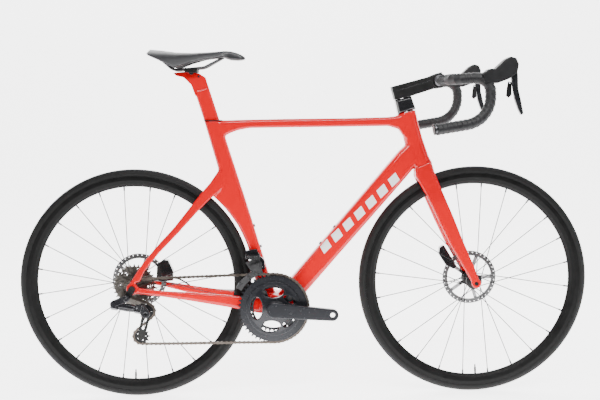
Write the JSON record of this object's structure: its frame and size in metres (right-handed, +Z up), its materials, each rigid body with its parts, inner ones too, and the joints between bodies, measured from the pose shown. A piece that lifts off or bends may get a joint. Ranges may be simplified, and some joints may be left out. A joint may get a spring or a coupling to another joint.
{
  "type": "road bicycle",
  "caption": "Road racing bicycle with disc brakes, drop handlebar, deep carbon-style tubes, racing saddle and electronic derailleur gears, without pedals.",
  "frame": {"origin": "on the ground, in the mid-plane, half way between the two wheel axles", "axes": "+X forward along the bicycle, +Y to the rider's left, +Z up; the chain is on the -Y side"},
  "size_m": [1.6642, 0.457, 1.0149],
  "materials": {
    "red_paint": "gloss red paint and clear coat over carbon-fibre composite",
    "steel": "satin",
    "black_alloy": "satin black anodised",
    "black_rubber": "matt",
    "black_steel": "black oxide",
    "grey_alloy": "dark grey gloss",
    "black_plastic": "matt",
    "chain_steel": "worn grey-brown",
    "sprocket_steel": "satin",
    "crank_grey": "dark grey anodised",
    "saddle_skin": "smooth matt",
    "gloss_black": "gloss",
    "bar_alloy": "brushed",
    "bar_tape": "textured matt",
    "hood_rubber": "ribbed matt",
    "lever_grey": "satin dark grey",
    "tyre": "matt",
    "rim_black": "satin carbon",
    "spoke_steel": "satin",
    "rotor_steel": "brushed"
  },
  "bodies": {
    "frame": {"head_tube": "red_paint", "top_tube": "red_paint", "down_tube": "red_paint", "seat_tube": "red_paint", "chainstays": "red_paint", "seatstays": "red_paint", "bearings": "steel", "rear_axle": "black_alloy", "derailleur_hanger": "black_alloy", "rear_caliper": "black_alloy", "rear_hose": "black_rubber", "bottle_bolts": "black_steel", "seat_clamp": "black_rubber", "fd_body": "grey_alloy", "rd_bracket": "grey_alloy", "chain": "chain_steel"},
    "saddle_post": {"seatpost": "red_paint", "saddle_clamp": "black_alloy", "saddle_rails": "black_steel", "saddle_shell": "black_plastic", "saddle_cover": "saddle_skin"},
    "steering": {"fork": "red_paint", "front_axle": "black_alloy", "front_caliper": "black_alloy", "stem": "black_alloy", "stem_faceplate": "black_alloy", "stem_bolts": "black_steel", "stem_spacer": "gloss_black", "handlebar": "bar_alloy", "bar_tape": "bar_tape", "bar_end_plugs": "black_plastic", "hoods": "hood_rubber"},
    "brake_lever_left": {"lever_left": "lever_grey"},
    "brake_lever_right": {"lever_right": "lever_grey"},
    "shift_paddle_left": {"paddle_left": "black_plastic"},
    "shift_paddle_right": {"paddle_right": "black_plastic"},
    "front_wheel": {"front_tyre": "tyre", "front_rim": "rim_black", "front_spokes": "spoke_steel", "front_hub": "black_alloy", "front_rotor": "rotor_steel", "front_valve": "black_alloy"},
    "rear_wheel": {"rear_tyre": "tyre", "rear_rim": "rim_black", "rear_spokes": "spoke_steel", "rear_hub": "black_alloy", "rear_rotor": "rotor_steel", "rear_valve": "black_alloy"},
    "cassette": {"cassette": "sprocket_steel"},
    "crankset": {"crank_arm_right": "crank_grey", "crank_arm_left": "crank_grey", "outer_chainring": "crank_grey", "inner_chainring": "crank_grey", "chainring_bolts": "black_steel"},
    "front_derailleur_cage": {"fd_cage": "steel"},
    "rear_derailleur_link": {"rd_link": "grey_alloy"},
    "rear_derailleur_knuckle": {"rd_knuckle": "grey_alloy"},
    "rear_derailleur_cage": {"rd_cage": "black_alloy"},
    "guide_pulley": {"guide_pulley": "black_plastic"},
    "tension_pulley": {"tension_pulley": "black_plastic"}
  },
  "joints": [
    {"name": "steering_turn", "type": "hinge", "parent": "frame", "child": "steering", "pos_m": [0.34506, 0, 0.67397], "axis": [-0.2924, 0, 0.9563], "range_deg": [-50, 50]},
    {"name": "seatpost_slide", "type": "slide", "parent": "frame", "child": "saddle_post", "axis": [-0.2924, 0, 0.9563], "range_m": [-0.045, 0.04]},
    {"name": "front_wheel_spin", "type": "hinge", "parent": "steering", "child": "front_wheel", "pos_m": [0.49514, 0, 0.337], "axis": [0, 1, 0], "continuous": true},
    {"name": "rear_wheel_spin", "type": "hinge", "parent": "frame", "child": "rear_wheel", "pos_m": [-0.49514, 0, 0.337], "axis": [0, 1, 0], "continuous": true},
    {"name": "crank_spin", "type": "hinge", "parent": "frame", "child": "crankset", "pos_m": [-0.09276, 0, 0.2695], "axis": [0, 1, 0], "continuous": true, "deforming": ["chain"]},
    {"name": "cassette_spin", "type": "hinge", "parent": "frame", "child": "cassette", "pos_m": [-0.49514, 0, 0.337], "axis": [0, 1, 0], "continuous": true},
    {"name": "front_derailleur_swing", "type": "hinge", "parent": "frame", "child": "front_derailleur_cage", "pos_m": [-0.15276, -0.036, 0.4195], "axis": [1, 0, 0], "range_deg": [-1, 8]},
    {"name": "rear_derailleur_swing", "type": "hinge", "parent": "frame", "child": "rear_derailleur_link", "pos_m": [-0.53914, -0.088, 0.292], "axis": [0.2001, 0.562, 0.8026], "range_deg": [-8.71, 34.05]},
    {"name": "rear_derailleur_parallel", "type": "hinge", "parent": "rear_derailleur_link", "child": "rear_derailleur_knuckle", "pos_m": [-0.4786, -0.09925, 0.28478], "axis": [0.2001, 0.562, 0.8026], "range_deg": [-34.06, 8.72]},
    {"name": "rear_derailleur_cage_turn", "type": "hinge", "parent": "rear_derailleur_knuckle", "child": "rear_derailleur_cage", "pos_m": [-0.45714, -0.05862, 0.268], "axis": [0, 1, 0], "range_deg": [-45, 25]},
    {"name": "guide_pulley_spin", "type": "hinge", "parent": "rear_derailleur_cage", "child": "guide_pulley", "pos_m": [-0.45714, -0.05862, 0.268], "axis": [0, 1, 0], "continuous": true},
    {"name": "tension_pulley_spin", "type": "hinge", "parent": "rear_derailleur_cage", "child": "tension_pulley", "pos_m": [-0.47538, -0.05862, 0.19525], "axis": [0, 1, 0], "continuous": true},
    {"name": "brake_lever_left_pull", "type": "hinge", "parent": "steering", "child": "brake_lever_left", "pos_m": [0.54464, 0.208, 0.9405], "axis": [0, 1, 0], "range_deg": [0, 18], "stiffness_Nm_per_rad": 0.4, "springref_deg": -20.05},
    {"name": "shift_paddle_left_press", "type": "hinge", "parent": "brake_lever_left", "child": "shift_paddle_left", "pos_m": [0.54114, 0.1995, 0.909], "axis": [0, 1, 0], "range_deg": [0, 5], "stiffness_Nm_per_rad": 0.05, "springref_deg": -5.73},
    {"name": "brake_lever_right_pull", "type": "hinge", "parent": "steering", "child": "brake_lever_right", "pos_m": [0.54464, -0.208, 0.9405], "axis": [0, 1, 0], "range_deg": [0, 18], "stiffness_Nm_per_rad": 0.4, "springref_deg": -20.05},
    {"name": "shift_paddle_right_press", "type": "hinge", "parent": "brake_lever_right", "child": "shift_paddle_right", "pos_m": [0.54114, -0.1995, 0.909], "axis": [0, 1, 0], "range_deg": [0, 5], "stiffness_Nm_per_rad": 0.05, "springref_deg": -5.73}
  ],
  "couplings": [
    {"joint": "cassette_spin", "follows": "crank_spin", "ratio": 3.8462},
    {"joint": "guide_pulley_spin", "follows": "crank_spin", "ratio": -4.5455},
    {"joint": "tension_pulley_spin", "follows": "crank_spin", "ratio": 4.5455},
    {"joint": "rear_derailleur_parallel", "follows": "rear_derailleur_swing", "ratio": -1}
  ]
}
